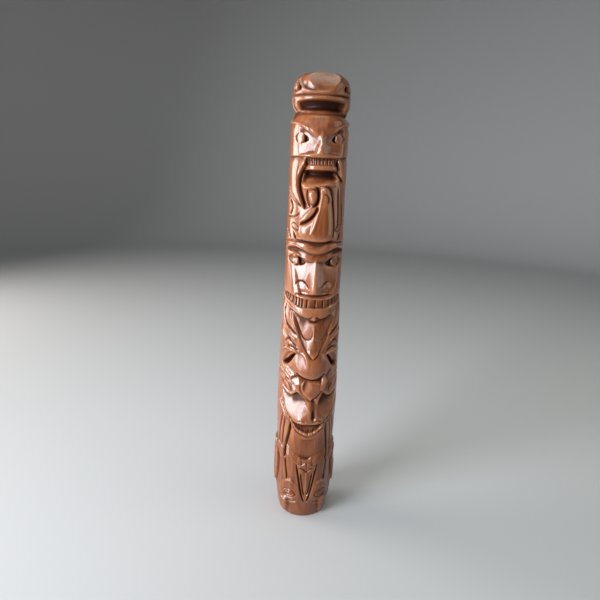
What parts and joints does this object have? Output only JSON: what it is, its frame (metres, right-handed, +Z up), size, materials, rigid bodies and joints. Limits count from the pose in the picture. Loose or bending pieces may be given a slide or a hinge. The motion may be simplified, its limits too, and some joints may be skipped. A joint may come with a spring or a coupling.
{
  "type": "totem pole",
  "caption": "Small carved wooden totem pole: stacked animal and human-like heads, a gripped fish, a long beak, folded wings and clawed feet on one round pole that stands upright.",
  "frame": {"origin": "middle of the flat underside, on the pole's axis", "axes": "+Z up the pole, -Y the way the carved figures face, +X to the figures' left hand"},
  "size_m": [0.0743, 0.0712, 0.5],
  "materials": {
    "varnished_wood": "gloss varnish over reddish-brown wood, darker in the cuts"
  },
  "bodies": {
    "root": {"totem_pole": "varnished_wood"}
  },
  "joints": []
}
